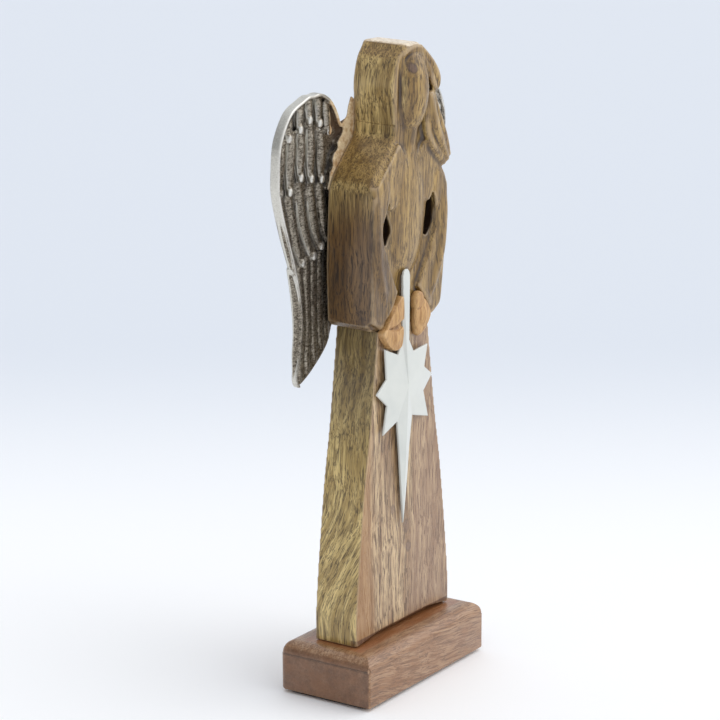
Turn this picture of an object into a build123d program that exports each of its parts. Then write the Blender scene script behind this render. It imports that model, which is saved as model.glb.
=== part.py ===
"""Carved wooden figurine: a robed, winged figure on a plinth, holding a long white star.

The figure faces -Y and stands on the plane Z = 0, with the origin at the centre of its underside.
Robe, torso and head are sawn from one thickness of board and doweled end to end. The upper body bows
forward a little, so the torso, head, hands and wings are drawn on planes that lean with it.
"""
import os
from math import cos, radians, sin

from build123d import *

os.makedirs("parts", exist_ok=True)

# ---- driving dimensions, mm -------------------------------------------------------------------
total_height = 400.0
board = 30.5              # thickness of the board that the figure is sawn from

base_width = 132.0
base_depth = 67.0
pad_height = 2.0
pad_inset = 4.0
base_top = 33.5
base_round = 8.0          # round-over along the plinth's top edges
base_corner = 4.0
base_edge_break = 1.0     # chamfer round the underside
overrun = 1.0             # how far a solid or a cutter runs past the face that trims it

hem_height = 228.0        # joint between robe and torso
neck_height = 352.0       # joint between torso and head
bow = 2.5                 # forward lean of the upper body, degrees
robe_foot = 52.5          # half widths of the robe, at the plinth and at the hem
robe_top = 27.5
robe_flank = [(49.0, 88.5), (33.7, 182.0)]   # places the robe's side passes, half width and height
foot_bevel = 3.0

sleeve_half = 41.0        # half width across the sleeves
torso_foot = 27.3         # half width of the torso on the hem
neck_half = 15.6
relief = 4.0              # height of the carved arms and chest over the board's front
slot_depth = 12.0
head_half = 18.0
crown_half = 10.2         # half width where the crown turns down into the side of the head
crown_drop = 3.0
hair_relief = 6.0         # the hair falls over the figure's left shoulder only
face_half = 12.0          # blank oval face: half width, half height, middle and relief
face_reach = 23.0
face_height = 372.0
face_relief = 8.0
hand_relief = 6.0
hand_corner = 2.0
hand_round = 1.5

star_points = 8
star_x = -3.5             # the star sits a little to the figure's right of the middle
star_height = 190.0       # height of the star's centre
star_lean = 0.9           # degrees: its top leans out, clear of the bowed chest
star_top = 73.0           # reaches of the star's points from its centre
star_bottom = 88.0
star_side = 31.5
star_diagonal = 35.5
star_waist = 21.8         # radius of the notches between the points
star_edge = 2.6           # thickness at the rim, and at the ridge
star_ridge = 5.0
star_flat = 1.0           # radius of the flat where the ridges meet
spike_half = 4.2
spike_root = 25.2         # where the spike's sides begin, over the star's centre
spike_blunt = 0.6

wing_thick = 7.0
feather_step = 1.5        # each row of feathers stands this much over the next
feather_rows = (318.0, 262.0)
row_reach = 100.0         # wider and taller than the wing
wing_screw_x = 15.0
wing_screw_heights = (292.0, 328.0)

screw_shank = 2.0         # radii of the plinth screws
screw_head = 4.0
screw_length = 58.0
screw_point = 4.0
screw_clearance = 0.6     # round the screw heads, in the foam pad
screw_x = 26.0
dowel_radius = 4.0
dowel_length = 32.0
waist_dowel_x = 13.0
pin_radius = 2.0
hand_pin_bite = 8.0       # length in the torso
hand_pin_reach = 4.0      # length in the hand
wing_screw_shank = 1.75
wing_screw_head = 3.4
wing_screw_head_height = 2.2
wing_screw_bite = 12.0    # length in the torso
star_pin_radius = 1.0
star_pin_bite = 8.0       # length in the robe
star_pin_reach = 2.0      # length in the star
star_pin_offsets = (-34.0, 28.0)
hand_pin_place = (14.5, 238.0)

front_face = board / 2
lean_front = Vector(0, -cos(radians(bow)), -sin(radians(bow)))


def upright(forward):
    """Front-view plane, X to the right and Y up from the floor, `forward` mm in front of the middle."""
    return Plane(origin=(0, -forward, 0), x_dir=(1, 0, 0), z_dir=(0, -1, 0))


def leaning(forward):
    """The same plane for the bowed upper body. It turns about the hem, where its own Y is 0."""
    middle = Vector(0, 0, hem_height)
    return Plane(origin=middle + lean_front * forward, x_dir=(1, 0, 0), z_dir=lean_front)


def star_plane(forward):
    """Front-view plane of the star, with its origin on the star's centre line at the tip's height."""
    tilt = radians(star_lean)
    out = Vector(0, -cos(tilt), -sin(tilt))
    tip = Vector(star_x, -front_face, star_height - star_bottom)
    return Plane(origin=tip + out * forward, x_dir=(1, 0, 0), z_dir=out)


def up(height):
    """Distance from the hem, measured along the bowed body."""
    return height - hem_height


def mirrored(points):
    """Right half of an outline, given from bottom to top, with its mirror image."""
    left = [(-x, y) for x, y in reversed(points) if x > 0]
    return points + left


def both_sides(places):
    """Places on the bowed body, given as (x, height), and their mirror images."""
    return [(side * x, up(height)) for side in (1, -1) for x, height in places]


left_screw_places = [(wing_screw_x, up(height)) for height in wing_screw_heights]
wing_screw_places = both_sides([(wing_screw_x, height) for height in wing_screw_heights])
hand_pin_places = both_sides([hand_pin_place])
star_pin_places = [(0, star_bottom + offset) for offset in star_pin_offsets]

body_axis = (0, -sin(radians(bow)), cos(radians(bow)))
hem_plane = Plane(origin=(0, 0, hem_height), x_dir=(1, 0, 0), z_dir=body_axis)
neck_origin = leaning(0).from_local_coords((0, up(neck_height), 0))
neck_plane = Plane(origin=neck_origin, x_dir=(1, 0, 0), z_dir=body_axis)


# ---- plinth -----------------------------------------------------------------------------------
with BuildPart() as base_pad:
    with BuildSketch(Plane.XY):
        RectangleRounded(base_width - 2 * pad_inset, base_depth - 2 * pad_inset, base_corner)
    extrude(amount=pad_height)
    with Locations((screw_x, 0, 0), (-screw_x, 0, 0)):
        Hole(radius=screw_head + screw_clearance)

with BuildPart() as base_block:
    with BuildSketch(Plane.XY.offset(pad_height)):
        RectangleRounded(base_width, base_depth, base_corner)
    extrude(amount=base_top - pad_height)
    fillet(base_block.faces().sort_by(Axis.Z)[-1].edges(), radius=base_round)
    chamfer(base_block.faces().sort_by(Axis.Z)[0].edges(), length=base_edge_break)
    for side in (-1, 1):
        with BuildSketch(Plane.XZ):
            with BuildLine():
                Polyline(
                    (side * screw_x, pad_height),
                    (side * (screw_x + screw_head), pad_height),
                    (side * (screw_x + screw_shank), pad_height + screw_head - screw_shank),
                    (side * (screw_x + screw_shank), base_top),
                    (side * screw_x, base_top),
                    close=True,
                )
            make_face()
        revolve(axis=Axis((side * screw_x, 0, 0), (0, 0, 1)), mode=Mode.SUBTRACT)

with BuildPart() as base_screws:
    with BuildSketch(Plane.XZ):
        with BuildLine():
            Polyline(
                (screw_x, pad_height),
                (screw_x + screw_head, pad_height),
                (screw_x + screw_shank, pad_height + screw_head - screw_shank),
                (screw_x + screw_shank, pad_height + screw_length - screw_point),
                (screw_x, pad_height + screw_length),
                close=True,
            )
        make_face()
    revolve(axis=Axis((screw_x, 0, 0), (0, 0, 1)))
    mirror(about=Plane.YZ)

# ---- robe -------------------------------------------------------------------------------------
with BuildPart() as robe_block:
    with BuildSketch(upright(0)):
        with BuildLine():
            right = Spline(
                (robe_foot, base_top),
                *robe_flank,
                (robe_top, hem_height + overrun),
                tangents=[(-0.02, 1), (-0.13, 1)],
            )
            left = mirror(right, about=Plane.YZ)
            Line(right @ 0, left @ 0)
            Line(right @ 1, left @ 1)
        make_face()
    extrude(amount=board / 2, both=True)
    split(bisect_by=hem_plane, keep=Keep.BOTTOM)
    foot_edges = robe_block.faces().sort_by(Axis.Z)[0].edges().filter_by(Axis.X)
    chamfer(foot_edges.sort_by(Axis.Y)[0], length=foot_bevel)
    with Locations((screw_x, 0, base_top), (-screw_x, 0, base_top)):
        pilot_depth = pad_height + screw_length - base_top
        Cylinder(
            screw_shank,
            pilot_depth,
            align=(Align.CENTER, Align.CENTER, Align.MIN),
            mode=Mode.SUBTRACT,
        )
    with Locations(hem_plane):
        with Locations((waist_dowel_x, 0, 0), (-waist_dowel_x, 0, 0)):
            Cylinder(dowel_radius, dowel_length, mode=Mode.SUBTRACT)
    with BuildSketch(star_plane(0)):
        with Locations(*star_pin_places):
            Circle(star_pin_radius)
    extrude(amount=-star_pin_bite, mode=Mode.SUBTRACT)

with BuildPart() as waist_dowels:
    with Locations(hem_plane):
        with Locations((waist_dowel_x, 0, 0), (-waist_dowel_x, 0, 0)):
            Cylinder(dowel_radius, dowel_length)

# ---- torso, arms and sleeves ------------------------------------------------------------------
torso_outline = mirrored(
    [
        (torso_foot, 0),
        (37.8, up(234.5)),
        (39.3, up(250)),
        (sleeve_half, up(276)),
        (sleeve_half, up(309)),
        (39.2, up(318)),
        (33.5, up(326)),
        (19.5, up(341.5)),
        (neck_half, up(345.5)),
        (neck_half, up(neck_height)),
    ]
)
# right sleeve: outer edge, cuff and the inner line of the arm up to the shoulder
sleeve_outline = [
    (torso_foot, up(229)),
    (37.8, up(235.5)),
    (sleeve_half, up(276)),
    (sleeve_half, up(309)),
    (38.0, up(319)),
    (25.0, up(332)),
    (15.0, up(326)),
    (20.0, up(306)),
    (24.5, up(288)),
    (17.0, up(266)),
    (10.0, up(250)),
]
# one side of the chest, from the neckline to its point above the star
chest_outline = [
    (0, up(265)),
    (6.5, up(267)),
    (15, up(280)),
    (17.5, up(300)),
    (17.5, up(329)),
    (9, up(338)),
    (0, up(322)),
]
# the opening between an arm and the chest
slot_outline = [
    (23.0, up(307)),
    (27.5, up(299)),
    (27.0, up(286)),
    (22.5, up(281)),
    (18.5, up(288)),
    (20.0, up(299)),
]
# the long lock that falls over the shoulder, and the curl beside the brow
lock_outline = [
    (12, up(372)),
    (20, up(368)),
    (27, up(348)),
    (38, up(334)),
    (40.5, up(327)),
    (35, up(321.5)),
    (22, up(332)),
    (11, up(343)),
    (10, up(354)),
]
curl_outline = [
    (3, up(398)),
    (10, up(394)),
    (18, up(382)),
    (24.5, up(376)),
    (24.5, up(370.5)),
    (19, up(368)),
    (13, up(374)),
    (8, up(386)),
]

with BuildPart() as torso_block:
    with BuildSketch(leaning(0)):
        with BuildLine():
            Polyline(*torso_outline, close=True)
        make_face()
    extrude(amount=board / 2, both=True)
    with BuildSketch(leaning(front_face)):
        for outline in (sleeve_outline, chest_outline):
            with BuildLine():
                Polyline(*outline, close=True)
            make_face()
        mirror(about=Plane.YZ)
    extrude(amount=relief)
    with BuildSketch(leaning(front_face)):
        with BuildLine():
            Polyline(*lock_outline, close=True)
        make_face()
    extrude(amount=hair_relief)
    split(bisect_by=neck_plane, keep=Keep.BOTTOM)
    with BuildSketch(leaning(front_face + relief + overrun)):
        with BuildLine():
            Polyline(*slot_outline, close=True)
        make_face()
        mirror(about=Plane.YZ)
    extrude(amount=-(relief + overrun + slot_depth), mode=Mode.SUBTRACT)
    with Locations(hem_plane):
        with Locations((waist_dowel_x, 0, 0), (-waist_dowel_x, 0, 0)):
            Cylinder(dowel_radius, dowel_length, mode=Mode.SUBTRACT)
    with Locations(neck_plane):
        Cylinder(dowel_radius, dowel_length, mode=Mode.SUBTRACT)
    with BuildSketch(leaning(-front_face)):
        with Locations(*wing_screw_places):
            Circle(wing_screw_shank)
    extrude(amount=wing_screw_bite, mode=Mode.SUBTRACT)
    with BuildSketch(leaning(front_face)):
        with Locations(*hand_pin_places):
            Circle(pin_radius)
    extrude(amount=-hand_pin_bite, mode=Mode.SUBTRACT)

with BuildPart() as neck_dowel:
    with Locations(neck_plane):
        Cylinder(dowel_radius, dowel_length)

# ---- head, blank face and hair ----------------------------------------------------------------
crown = up(total_height) / cos(radians(bow)) - front_face * sin(radians(bow))
with BuildPart() as head_block:
    with BuildSketch(leaning(0)):
        with BuildLine():
            side = Spline((neck_half, up(neck_height)), (head_half, up(375)), (15.2, up(389)))
            over = Spline(
                side @ 1,
                (crown_half, crown - crown_drop),
                (0, crown),
                tangents=[side % 1, (-1, 0)],
            )
            mirror(over, about=Plane.YZ)
            far_side = mirror(side, about=Plane.YZ)
            Line(side @ 0, far_side @ 0)
        make_face()
    extrude(amount=board / 2, both=True)
    with BuildSketch(leaning(front_face)):
        for outline in (lock_outline, curl_outline):
            with BuildLine():
                Polyline(*outline, close=True)
            make_face()
    extrude(amount=hair_relief)
    with BuildSketch(leaning(front_face)):
        with Locations((0, up(face_height))):
            Ellipse(face_half, face_reach)
    extrude(amount=face_relief)
    split(bisect_by=neck_plane, keep=Keep.TOP)
    with Locations(neck_plane):
        Cylinder(dowel_radius, dowel_length, mode=Mode.SUBTRACT)

# ---- hands ------------------------------------------------------------------------------------
hand_outline = [
    (27.2, up(228.8)),
    (10.4, up(249.2)),
    (8.5, up(247)),
    (8.0, up(240)),
    (8.0, up(219)),
    (11, up(215)),
    (18, up(215.6)),
    (24.5, up(222)),
]
with BuildPart() as left_hand:
    with BuildSketch(leaning(front_face)):
        with BuildLine():
            Polyline(*hand_outline, close=True)
        make_face()
        fillet(vertices().group_by(Axis.Y)[0], radius=hand_corner)
    extrude(amount=hand_relief)
    fillet(left_hand.faces().sort_by(Axis.Y)[0].edges(), radius=hand_round)
    split(bisect_by=upright(front_face), keep=Keep.TOP)
    with BuildSketch(leaning(front_face)):
        with Locations(hand_pin_places[0]):
            Circle(pin_radius)
    extrude(amount=hand_pin_reach, mode=Mode.SUBTRACT)

with BuildPart() as right_hand:
    add(left_hand.part)
    mirror(about=Plane.YZ, mode=Mode.REPLACE)

with BuildPart() as hand_pins:
    with BuildSketch(leaning(front_face - hand_pin_bite)):
        with Locations(*hand_pin_places):
            Circle(pin_radius)
    extrude(amount=hand_pin_bite + hand_pin_reach)

# ---- star -------------------------------------------------------------------------------------
star_turn = 360 / star_points
diagonal = star_diagonal * cos(radians(star_turn))
notch_near = star_waist * sin(radians(star_turn / 2))
notch_far = star_waist * cos(radians(star_turn / 2))
star_outline = mirrored(
    [
        (0, 0),
        (notch_near, star_bottom - notch_far),
        (diagonal, star_bottom - diagonal),
        (notch_far, star_bottom - notch_near),
        (star_side, star_bottom),
        (notch_far, star_bottom + notch_near),
        (diagonal, star_bottom + diagonal),
        (notch_near, star_bottom + notch_far),
        (spike_half, star_bottom + spike_root),
        (spike_half, star_bottom + star_top - spike_half),
        (spike_half / 2, star_bottom + star_top - spike_blunt),
    ]
)
with BuildPart() as star:
    with BuildSketch(star_plane(0)):
        with BuildLine():
            Polyline(*star_outline, close=True)
        make_face()
    extrude(amount=star_edge)
    with BuildSketch(star_plane(star_edge)):
        with Locations((0, star_bottom)):
            RegularPolygon(star_waist, star_points)
    with BuildSketch(star_plane(star_ridge)):
        with Locations((0, star_bottom)):
            RegularPolygon(star_flat, star_points)
    loft()
    with BuildSketch(star_plane(0)):
        with Locations(*star_pin_places):
            Circle(star_pin_radius)
    extrude(amount=star_pin_reach, mode=Mode.SUBTRACT)

with BuildPart() as star_pins:
    with BuildSketch(star_plane(-star_pin_bite)):
        with Locations(*star_pin_places):
            Circle(star_pin_radius)
    extrude(amount=star_pin_bite + star_pin_reach)

# ---- wings ------------------------------------------------------------------------------------
with BuildSketch() as wing_outline:
    with BuildLine():
        root = Polyline(
            (30, up(224)),
            (23, up(246)),
            (12, up(272)),
            (6, up(285)),
            (6, up(332)),
            (12, up(346)),
            (14.5, up(364)),
            (17.6, up(366.5)),
            (21, up(355)),
            (26, up(350.5)),
            (31, up(358.5)),
        )
        top = Spline(
            root @ 1,
            (44, up(371)),
            (67, up(368)),
            (86, up(351)),
            (91, up(328)),
            tangents=[(0.7, 0.75), (0, -1)],
        )
        outer = Spline(
            top @ 1,
            (80, up(291.5)),
            (65, up(248)),
            (69, up(203)),
            tangents=[(0, -1), (0.05, -1)],
        )
        tip = Spline(
            outer @ 1,
            (64, up(196.5)),
            (45.8, up(205)),
            root @ 0,
            tangents=[(0.05, -1), (-0.45, 1)],
        )
    make_face()
with BuildPart() as left_wing:
    back = -(front_face + wing_thick)
    with BuildSketch(leaning(back)):
        add(wing_outline.sketch)
    extrude(amount=wing_thick - 2 * feather_step)
    for step, lowest in enumerate(reversed(feather_rows)):
        with BuildSketch(leaning(back + wing_thick - (2 - step) * feather_step)):
            add(wing_outline.sketch)
            with Locations((0, up(lowest))):
                Rectangle(row_reach, row_reach, align=(Align.MIN, Align.MIN), mode=Mode.INTERSECT)
        extrude(amount=feather_step)
    with BuildSketch(leaning(-front_face)):
        with Locations(*left_screw_places):
            Circle(wing_screw_head)
    extrude(amount=-wing_thick)
    with BuildSketch(leaning(-front_face)):
        with Locations(*left_screw_places):
            Circle(wing_screw_shank)
    extrude(amount=-wing_thick, mode=Mode.SUBTRACT)

with BuildPart() as right_wing:
    add(left_wing.part)
    mirror(about=Plane.YZ, mode=Mode.REPLACE)

with BuildPart() as wing_screws:
    with BuildSketch(leaning(wing_screw_bite - front_face)):
        with Locations(*wing_screw_places):
            Circle(wing_screw_shank)
    extrude(amount=-(wing_screw_bite + wing_thick))
    with BuildSketch(leaning(-front_face - wing_thick)):
        with Locations(*wing_screw_places):
            Circle(wing_screw_head)
    extrude(amount=-wing_screw_head_height)

# ---- export -----------------------------------------------------------------------------------
pieces = {
    "base_pad": base_pad,
    "base_block": base_block,
    "base_screws": base_screws,
    "robe_block": robe_block,
    "waist_dowels": waist_dowels,
    "torso_block": torso_block,
    "neck_dowel": neck_dowel,
    "head_block": head_block,
    "left_hand": left_hand,
    "right_hand": right_hand,
    "hand_pins": hand_pins,
    "star": star,
    "star_pins": star_pins,
    "left_wing": left_wing,
    "right_wing": right_wing,
    "wing_screws": wing_screws,
}
for name, piece in pieces.items():
    piece.part.label = name
    export_step(piece.part, f"parts/{name}.step")
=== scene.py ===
"""The looks of a carved wooden figurine: a robed, winged figure on a plinth, with a long white star.

Shapes are drawn in millimetres, as (x, height) seen from the front or (x, ahead, height), where ahead
is the distance in front of the board's middle. The figure faces -Y and +X is its left. The upper body
and the wings are modelled upright and then leaned forward about the hem.
"""
from math import cos, pi, radians, sin

import bpy
import numpy as np
from mathutils import Matrix, Vector


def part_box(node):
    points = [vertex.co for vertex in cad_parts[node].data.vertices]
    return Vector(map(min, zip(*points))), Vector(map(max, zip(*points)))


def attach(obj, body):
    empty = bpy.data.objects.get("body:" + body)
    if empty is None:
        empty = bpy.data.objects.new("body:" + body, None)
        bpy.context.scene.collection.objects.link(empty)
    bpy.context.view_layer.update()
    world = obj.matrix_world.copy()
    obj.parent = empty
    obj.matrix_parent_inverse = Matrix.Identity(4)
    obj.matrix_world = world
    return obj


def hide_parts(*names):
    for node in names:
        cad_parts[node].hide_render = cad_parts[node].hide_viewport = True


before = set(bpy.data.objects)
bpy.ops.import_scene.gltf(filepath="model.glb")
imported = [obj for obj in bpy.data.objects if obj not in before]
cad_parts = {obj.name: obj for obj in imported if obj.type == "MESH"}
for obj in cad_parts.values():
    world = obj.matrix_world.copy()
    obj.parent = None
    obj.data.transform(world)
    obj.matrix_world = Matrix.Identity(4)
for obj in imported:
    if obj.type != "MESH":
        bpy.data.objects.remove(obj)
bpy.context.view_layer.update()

mm = 0.001

# ---- sizes read from the frame, and the few that it doesn't hold -------------------------------
plinth_low, plinth_high = (Vector(corner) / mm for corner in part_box("base_block"))
robe_low, robe_high = (Vector(corner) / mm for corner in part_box("robe_block"))

board_half = robe_high.y            # half the thickness of the board
hem = 228.0                         # joint between robe and torso
neck = 352.0                        # joint between torso and head
bow = radians(2.5)                  # forward lean of the upper body
wing_back = -board_half - 7.0       # the wings are 7 mm thick, against the back of the torso
crown = 400.3
star_place = (-3.5, 190.0)          # the star's centre sits a little to the figure's right
star_tilt = radians(0.9)            # its top leans out, clear of the bowed chest

carving_grain = 0.7                 # cell sizes, mm, at which the carved forms are fused
hand_grain = 0.5
robe_grain = 0.95
wing_grain = 0.62


# ---- modelling helpers -------------------------------------------------------------------------
def deselect():
    if bpy.context.object and bpy.context.object.mode != "OBJECT":
        bpy.ops.object.mode_set(mode="OBJECT")
    bpy.ops.object.select_all(action="DESELECT")


def choose(*pieces):
    """Selects these pieces only, with the first one active."""
    deselect()
    for piece in pieces:
        piece.select_set(True)
    bpy.context.view_layer.objects.active = pieces[0]


def settle(piece):
    """Puts the object's place, turn and size into its mesh."""
    choose(piece)
    bpy.ops.object.transform_apply(location=True, rotation=True, scale=True)


def modify(piece, kind, **settings):
    """Adds a modifier, sets it and applies it."""
    choose(piece)
    modifier = piece.modifiers.new(kind.lower(), kind)
    for name, value in settings.items():
        setattr(modifier, name, value)
    bpy.ops.object.modifier_apply(modifier=modifier.name)


def pick(piece, kind, wanted):
    """Opens the piece in edit mode with those of its edges or faces selected that are wanted."""
    choose(piece)
    mesh = piece.data
    for group in (mesh.vertices, mesh.edges, mesh.polygons):
        group.foreach_set("select", [False] * len(group))
    for part in mesh.edges if kind == "EDGE" else mesh.polygons:
        corners = [mesh.vertices[index].co / mm for index in part.vertices]
        part.select = wanted(corners)
    bpy.ops.object.mode_set(mode="EDIT")
    bpy.ops.mesh.select_mode(type=kind)


def outward(piece):
    """Merges doubles and turns every face of a closed shape outwards."""
    choose(piece)
    bpy.ops.object.mode_set(mode="EDIT")
    bpy.ops.mesh.select_all(action="SELECT")
    bpy.ops.mesh.remove_doubles(threshold=0.01 * mm)
    bpy.ops.mesh.normals_make_consistent(inside=False)
    bpy.ops.object.mode_set(mode="OBJECT")


def rounded(points, sharp=(), steps=5):
    """A closed outline through the points, curved everywhere but at the corners numbered in sharp."""
    outline = []
    count = len(points)
    for start in range(count):
        end = (start + 1) % count
        before, a, b, after = (Vector(points[i % count]) for i in (start - 1, start, end, end + 1))
        leave = b - a if start in sharp else (b - before) / 2
        arrive = b - a if end in sharp else (after - a) / 2
        for step in range(steps):
            t = step / steps
            cubic = (
                a * (2 * t**3 - 3 * t**2 + 1)
                + leave * (t**3 - 2 * t**2 + t)
                + b * (3 * t**2 - 2 * t**3)
                + arrive * (t**3 - t**2)
            )
            outline.append(tuple(cubic))
    return outline


def both_sides(points):
    """One side of an outline, given from bottom to top, joined to its mirror image."""
    return points + [(-x, height) for x, height in reversed(points) if x > 0]


def sided(points, side):
    """Places drawn on the figure's left, or their mirror images where side is -1."""
    return [(side * x, *rest) for x, *rest in points]


def part_way(value, start, end):
    """How far a value has gone from start to end, held between 0 and 1."""
    return min(max((value - start) / (end - start), 0.0), 1.0)


def board(name, outline, back, front, soften=0.0):
    """A board sawn to an outline, between two depths ahead of the middle, with softened edges."""
    deselect()
    bpy.ops.mesh.primitive_circle_add(vertices=len(outline), fill_type="NGON")
    piece = bpy.context.object
    piece.name = name
    for vertex, (x, height) in zip(piece.data.vertices, outline):
        vertex.co = (x * mm, -back * mm, height * mm)
    pick(piece, "FACE", lambda corners: True)
    bpy.ops.mesh.extrude_region_move(TRANSFORM_OT_translate={"value": (0, (back - front) * mm, 0)})
    outward(piece)
    if soften:
        modify(piece, "BEVEL", width=soften * mm, segments=3, limit_method="ANGLE", angle_limit=radians(50))
    return piece


def rod(name, path, radii, depth=1.0):
    """A tapering carved strand along a path of (x, ahead, height), flattened from front to back."""
    curve = bpy.data.curves.new(name, "CURVE")
    curve.dimensions = "3D"
    curve.bevel_depth = mm
    curve.bevel_resolution = 3
    curve.resolution_u = 8
    curve.use_fill_caps = True
    spline = curve.splines.new("NURBS")
    spline.points.add(len(path) - 1)
    for point, (x, ahead, height), radius in zip(spline.points, path, radii):
        point.co = (x * mm, -ahead * mm / depth, height * mm, 1)
        point.radius = radius
    spline.order_u = 3
    spline.use_endpoint_u = True
    piece = bpy.data.objects.new(name, curve)
    bpy.context.collection.objects.link(piece)
    choose(piece)
    bpy.ops.object.convert(target="MESH")
    piece = bpy.context.object
    piece.scale.y = depth
    settle(piece)
    outward(piece)
    return piece


def egg(name, middle, halves):
    """An ellipsoid: its middle and half sizes as (x, ahead, height)."""
    deselect()
    x, ahead, height = middle
    bpy.ops.mesh.primitive_uv_sphere_add(segments=48, ring_count=32, location=(x * mm, -ahead * mm, height * mm))
    piece = bpy.context.object
    piece.name = name
    piece.scale = [half * mm for half in halves]
    settle(piece)
    return piece


def carve(piece, cutters):
    """Cuts the cutters' shapes out of the piece."""
    for cutter in cutters:
        modify(piece, "BOOLEAN", object=cutter, operation="DIFFERENCE", solver="MANIFOLD")
        bpy.data.objects.remove(cutter)


def fuse(name, parts, grain, passes=3):
    """Joins overlapping forms into one carved solid and rubs it smooth."""
    choose(*parts)
    if len(parts) > 1:
        bpy.ops.object.join()
    piece = bpy.context.object
    piece.name = name
    modify(piece, "REMESH", mode="VOXEL", voxel_size=grain * mm, use_smooth_shade=True)
    if passes:
        modify(piece, "SMOOTH", factor=0.5, iterations=passes)
    return piece


def lean(piece):
    """Bows a piece of the upper body forward about the hem."""
    about = Matrix.Translation((0, 0, hem * mm))
    piece.data.transform(about @ Matrix.Rotation(bow, 4, "X") @ about.inverted())


def leaned(x, ahead, height):
    """Where a place on the upright upper body goes when it is bowed, in metres."""
    up = height - hem
    return Vector((x, -ahead * cos(bow) - up * sin(bow), hem + up * cos(bow) - ahead * sin(bow))) * mm


def cut_off(piece, height, keep_above):
    """Keeps the part of an upright piece above or below a height, and closes the cut."""
    pick(piece, "FACE", lambda corners: True)
    bpy.ops.mesh.bisect(
        plane_co=(0, 0, height * mm),
        plane_no=(0, 0, 1),
        use_fill=True,
        clear_inner=keep_above,
        clear_outer=not keep_above,
    )
    bpy.ops.object.mode_set(mode="OBJECT")


def copy_of(piece, name):
    twin = piece.copy()
    twin.data = piece.data.copy()
    twin.name = name
    bpy.context.collection.objects.link(twin)
    return twin


def smooth(piece, angle=35.0):
    choose(piece)
    bpy.ops.object.shade_smooth_by_angle(angle=radians(angle))


def mark_hollows(piece, depth=0.8, rounds=24):
    """Notes on each point how deep it lies under the smoothed surface: 1 in a hollow, -1 on an edge."""
    mesh = piece.data
    count = len(mesh.vertices)
    places = np.empty(count * 3)
    normals = np.empty(count * 3)
    ends = np.empty(len(mesh.edges) * 2, dtype=np.int32)
    mesh.vertices.foreach_get("co", places)
    mesh.vertices.foreach_get("normal", normals)
    mesh.edges.foreach_get("vertices", ends)
    places = places.reshape(-1, 3)
    a, b = ends.reshape(-1, 2).T
    neighbours = np.maximum(np.bincount(np.concatenate([a, b]), minlength=count), 1)
    soft = places.copy()
    for _ in range(rounds):
        soft = np.stack(
            [
                (np.bincount(a, soft[b, k], count) + np.bincount(b, soft[a, k], count)) / neighbours
                for k in range(3)
            ],
            axis=1,
        )
    height = ((soft - places) * normals.reshape(-1, 3)).sum(axis=1) / (depth * mm)
    layer = mesh.attributes.new("hollow", "FLOAT", "POINT")
    layer.data.foreach_set("value", np.clip(height, -1, 1).astype(np.float32))


# ---- plinth ------------------------------------------------------------------------------------
plinth_round = 8.2                  # round-over along the top edges
plinth_step = 0.22                  # how far the round-over is cut in from the sides
front_corner, back_corner = 1.5, 4.5


def stack(name, rings):
    """A solid whose skin joins rings of equal count, each a list of points in mm, from bottom to top."""
    count = len(rings[0])
    faces = [tuple(reversed(range(count)))]
    for level in range(len(rings) - 1):
        low, high = level * count, (level + 1) * count
        for i in range(count):
            j = (i + 1) % count
            faces.append((low + i, low + j, high + j, high + i))
    faces.append(tuple((len(rings) - 1) * count + i for i in range(count)))
    mesh = bpy.data.meshes.new(name)
    mesh.from_pydata([Vector(point) * mm for ring in rings for point in ring], [], faces)
    piece = bpy.data.objects.new(name, mesh)
    bpy.context.collection.objects.link(piece)
    outward(piece)
    return piece


def plinth_ring(inset, height):
    """The plinth's outline at a height: crisper corners in front than at the back."""
    half_width = plinth_high.x - inset
    half_depth = plinth_high.y - inset
    steps = 6
    ring = []
    for corner, (x, y) in enumerate([(-1, -1), (1, -1), (1, 1), (-1, 1)]):
        radius = max((front_corner if y < 0 else back_corner) - 0.75 * inset, 0.5)
        for step in range(steps + 1):
            turn = pi + (corner + step / steps) * pi / 2
            ring.append((
                x * (half_width - radius) + radius * cos(turn),
                y * (half_depth - radius) + radius * sin(turn),
                height,
            ))
    return ring


def make_plinth():
    """A block with its top edges rounded over by a cutter that left a fine step along the sides."""
    low, high = plinth_low.z, plinth_high.z
    shoulder = high - plinth_round
    rings = [plinth_ring(1.0, low), plinth_ring(0.3, low + 0.3), plinth_ring(0, low + 1.0)]
    rings += [plinth_ring(0, shoulder - 0.15), plinth_ring(plinth_step, shoulder)]
    arc_steps = 10
    for index in range(1, arc_steps + 1):
        turn = index / arc_steps * pi / 2
        inset = plinth_step + (plinth_round - plinth_step) * (1 - cos(turn))
        rings.append(plinth_ring(inset, high - plinth_round * (1 - sin(turn))))
    plinth = stack("plinth", rings)
    chip = egg("chip", (plinth_low.x + 0.2, -plinth_low.y + 0.3, shoulder + 1.4), (2.0, 1.8, 2.4))
    carve(plinth, [chip])
    outward(plinth)
    smooth(plinth, 25)
    return plinth


# ---- robe --------------------------------------------------------------------------------------
foot_chamfer = 4.6


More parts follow.
